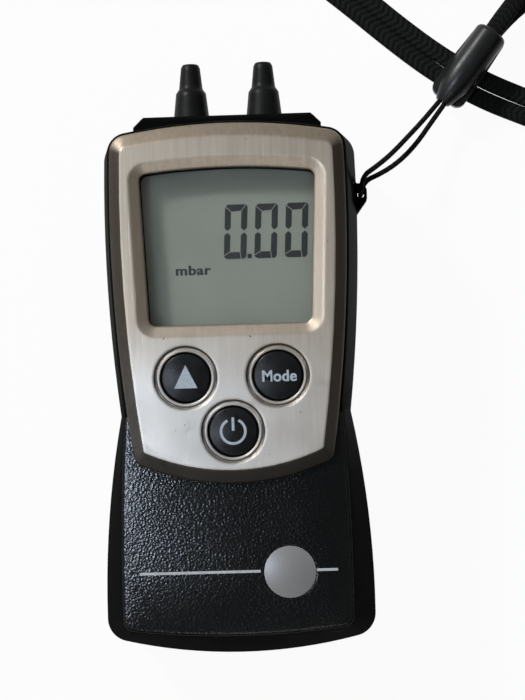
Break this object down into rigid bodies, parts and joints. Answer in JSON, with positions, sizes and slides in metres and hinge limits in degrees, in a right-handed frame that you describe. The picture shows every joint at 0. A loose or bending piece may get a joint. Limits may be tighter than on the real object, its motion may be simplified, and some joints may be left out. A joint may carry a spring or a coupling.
{
  "type": "digital manometer",
  "caption": "Pocket digital manometer on its back: waisted black housing, bevelled metal faceplate, round keys, hose nozzles and a wrist strap with clasp",
  "frame": {"origin": "middle of the base of the housing with its nozzles, the strap left out; the instrument lies on its back", "axes": "+X to the right of the display, +Y towards the hose nozzles, +Z out of the display"},
  "size_m": [0.117, 0.1418, 0.025],
  "materials": {
    "housing_plastic": "fine moulded texture",
    "plate_metal": "brushed, champagne tone",
    "window_plastic": "clear, polished",
    "display_glass": "reflective liquid crystal",
    "key_plastic": "satin",
    "frame_plastic": "plain",
    "conductive_rubber": "plain",
    "spring_steel": "bright",
    "board_laminate": "solder mask",
    "component_black": "moulded",
    "silicone": "translucent",
    "nozzle_plastic": "satin",
    "brass": "turned",
    "cell_can": "plain sleeve",
    "screw_steel": "blackened",
    "magnet_nickel": "plated",
    "inlay_enamel": "domed, plain",
    "clasp_plastic": "satin",
    "cord_nylon": "braided"
  },
  "bodies": {
    "housing": {"rear_housing": "housing_plastic", "front_housing": "housing_plastic", "faceplate": "plate_metal", "display_window": "window_plastic", "display_cell": "display_glass", "display_holder": "frame_plastic", "contact_strips": "conductive_rubber", "keypad_mat": "silicone", "switch_domes": "spring_steel", "circuit_board": "board_laminate", "board_components": "component_black", "pressure_sensor": "component_black", "sensor_tube_left": "silicone", "sensor_tube_right": "silicone", "port_block": "housing_plastic", "hose_nozzle_left": "nozzle_plastic", "hose_nozzle_right": "nozzle_plastic", "nozzle_seals": "silicone", "nozzle_nuts": "brass", "battery_left": "cell_can", "battery_right": "cell_can", "bridge_contact": "spring_steel", "end_contacts": "spring_steel", "battery_springs": "spring_steel", "housing_screws": "screw_steel", "back_magnets": "magnet_nickel", "round_inlay": "inlay_enamel", "clasp_body": "clasp_plastic", "clasp_base": "clasp_plastic", "strap_cord": "cord_nylon", "strap_band": "cord_nylon"},
    "key_up": {"button_up": "key_plastic"},
    "key_mode": {"button_mode": "key_plastic"},
    "key_power": {"button_power": "key_plastic"},
    "door": {"battery_door": "housing_plastic"}
  },
  "joints": [
    {"name": "key_up_press", "type": "slide", "parent": "housing", "child": "key_up", "axis": [0, 0, -1], "range_m": [0, 0.0005], "stiffness_N_per_m": 1500, "springref_m": -0.0004},
    {"name": "key_mode_press", "type": "slide", "parent": "housing", "child": "key_mode", "axis": [0, 0, -1], "range_m": [0, 0.0005], "stiffness_N_per_m": 1500, "springref_m": -0.0004},
    {"name": "key_power_press", "type": "slide", "parent": "housing", "child": "key_power", "axis": [0, 0, -1], "range_m": [0, 0.0005], "stiffness_N_per_m": 1500, "springref_m": -0.0004},
    {"name": "door_slide", "type": "slide", "parent": "housing", "child": "door", "axis": [0, -1, 0], "range_m": [0, 0.045]}
  ]
}
